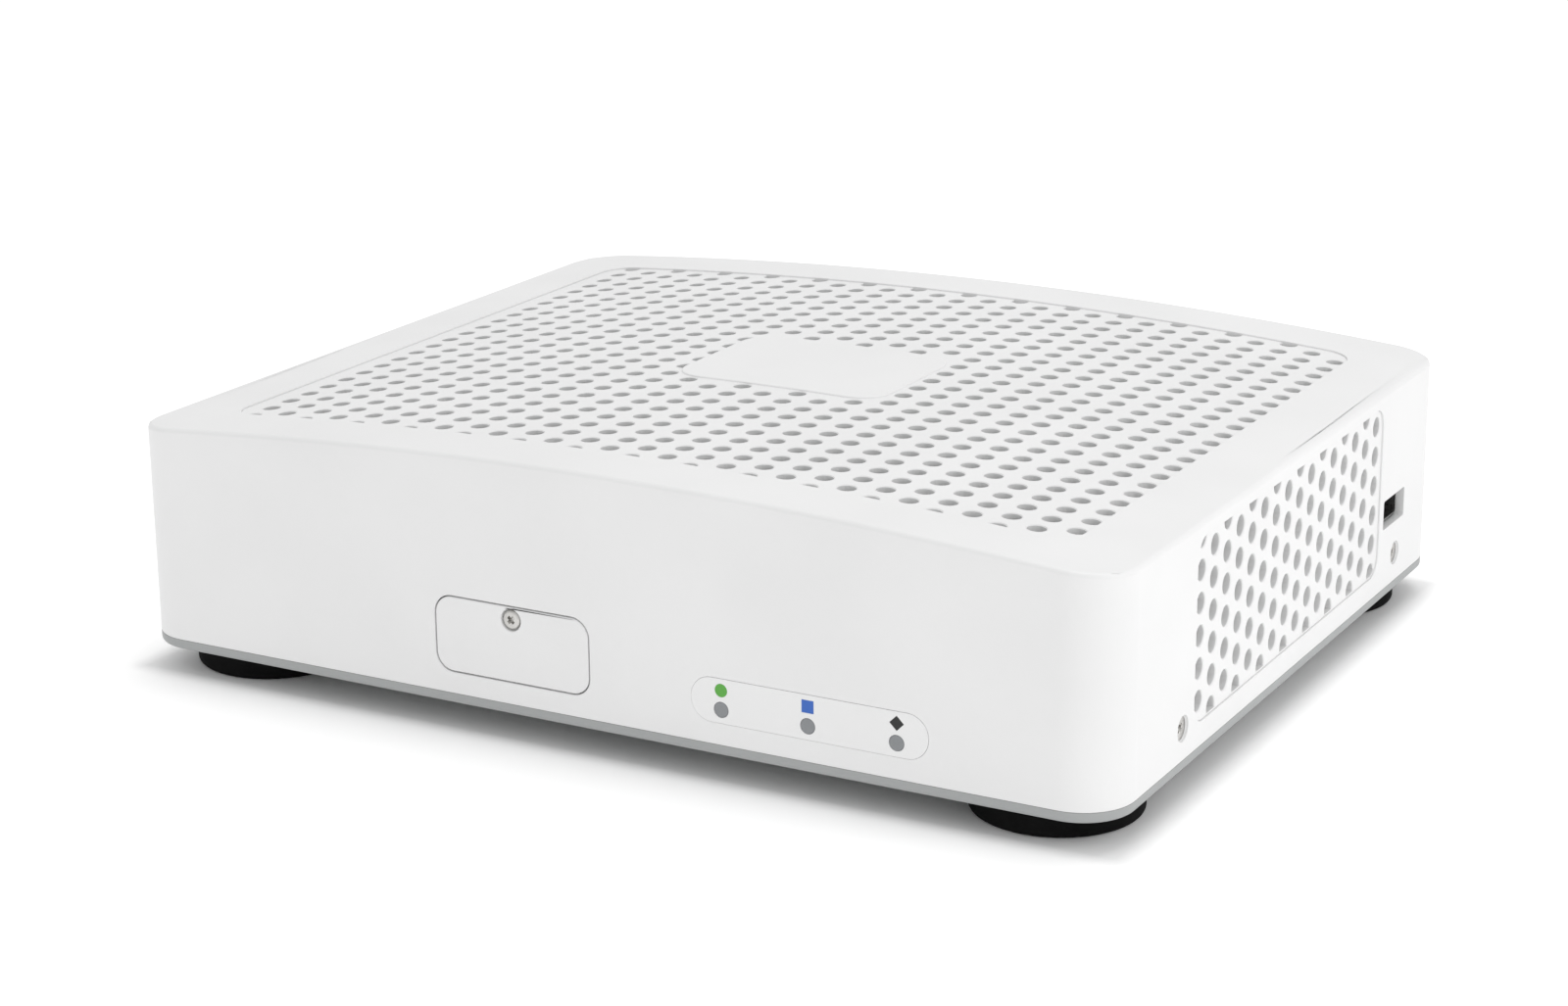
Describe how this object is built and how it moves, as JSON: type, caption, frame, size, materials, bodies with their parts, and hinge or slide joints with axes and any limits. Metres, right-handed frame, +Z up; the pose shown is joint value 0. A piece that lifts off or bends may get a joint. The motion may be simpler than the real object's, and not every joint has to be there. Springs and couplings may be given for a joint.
{
  "type": "optical network terminal",
  "caption": "Desktop fibre network terminal: white vented housing on a grey tray with rubber feet, service cover, status lights, USB socket and rear sockets.",
  "frame": {"origin": "centre of the footprint, on the surface that the rubber feet stand on", "axes": "+X to the right seen from the front, -Y out of the front face with the indicator lights, +Z up"},
  "size_m": [0.247, 0.202, 0.0648],
  "materials": {
    "housing_white": "fine moulded texture, satin",
    "strip_white": "smooth satin overlay",
    "tray_grey": "fine moulded texture",
    "panel_grey": "satin powder coat",
    "foot_rubber": "soft matt rubber",
    "screw_steel": "zinc plated",
    "pipe_grey": "smoked clear plastic",
    "mark_green": "printed ink",
    "mark_blue": "printed ink",
    "mark_black": "printed ink",
    "board_green": "solder mask over glass fibre",
    "chip_black": "moulded epoxy",
    "led_cream": "phosphor and clear resin",
    "plastic_black": "moulded nylon",
    "button_orange": "moulded plastic",
    "button_grey": "moulded plastic",
    "cable_grey": "flat cable",
    "socket_cream": "moulded nylon",
    "phone_grey": "moulded nylon",
    "pin_white": "moulded nylon",
    "brass": "turned brass",
    "pad_blue": "soft silicone",
    "sink_black": "black anodised",
    "capacitor_blue": "shrink sleeve",
    "inductor_grey": "moulded ferrite",
    "shield_steel": "tinned steel",
    "adapter_green": "moulded plastic",
    "ceramic_white": "polished ceramic",
    "contact_gold": "gold plated"
  },
  "bodies": {
    "chassis": {"base_tray": "tray_grey", "housing": "housing_white", "roof_vent_panel": "housing_white", "side_vent_left": "housing_white", "side_vent_right": "housing_white", "rear_panel": "panel_grey", "housing_screws": "screw_steel", "foot_front_left": "foot_rubber", "foot_front_right": "foot_rubber", "foot_rear_left": "foot_rubber", "foot_rear_right": "foot_rubber", "foot_screws": "screw_steel", "indicator_strip": "strip_white", "light_pipes": "pipe_grey", "status_circle": "mark_green", "status_square": "mark_blue", "status_diamond": "mark_black", "front_board": "board_green", "front_board_screws": "screw_steel", "status_leds": "led_cream", "reset_switch": "plastic_black", "service_header": "plastic_black", "ribbon_cable": "cable_grey", "ribbon_sockets": "socket_cream", "main_board": "board_green", "board_standoffs": "brass", "chassis_screws": "screw_steel", "processor": "chip_black", "thermal_pad": "pad_blue", "heatsink": "sink_black", "heatsink_pins": "pin_white", "memory_chips": "chip_black", "switch_chip": "chip_black", "lan_transformers": "chip_black", "capacitors": "capacitor_blue", "inductors": "inductor_grey", "optical_transceiver": "shield_steel", "fibre_adapter": "adapter_green", "fibre_sleeve": "ceramic_white", "fibre_shutter_pin": "shield_steel", "lan_jack_block": "plastic_black", "lan_jack_shield": "shield_steel", "lan_jack_contacts": "contact_gold", "phone_jack_block": "phone_grey", "phone_jack_contacts": "contact_gold", "dc_jack": "plastic_black", "dc_jack_pin": "shield_steel", "power_switch": "plastic_black", "ground_screw": "brass", "usb_board": "board_green", "usb_board_posts": "brass", "usb_board_header": "plastic_black", "usb_shell": "shield_steel", "usb_tongue": "plastic_black", "usb_contacts": "shield_steel"},
    "service_cover": {"service_cover": "housing_white", "service_cover_screw": "screw_steel"},
    "power_button": {"power_button": "button_grey"},
    "reset_button": {"reset_button": "button_orange"},
    "fibre_shutter": {"fibre_shutter": "adapter_green"}
  },
  "joints": [
    {"name": "service_cover_pull", "type": "slide", "parent": "chassis", "child": "service_cover", "axis": [0, -1, 0], "range_m": [0, 0.02]},
    {"name": "power_button_press", "type": "slide", "parent": "chassis", "child": "power_button", "axis": [0, -1, 0], "range_m": [0, 0.002], "stiffness_N_per_m": 900, "springref_m": -0.001},
    {"name": "reset_button_press", "type": "slide", "parent": "chassis", "child": "reset_button", "axis": [0, 1, 0], "range_m": [0, 0.0003], "stiffness_N_per_m": 1500, "springref_m": -0.0002},
    {"name": "fibre_shutter_swing", "type": "hinge", "parent": "chassis", "child": "fibre_shutter", "pos_m": [0.082, 0.0998, 0.0295], "axis": [1, 0, 0], "range_deg": [0, 100], "stiffness_Nm_per_rad": 0.0002, "springref_deg": -22.92}
  ]
}
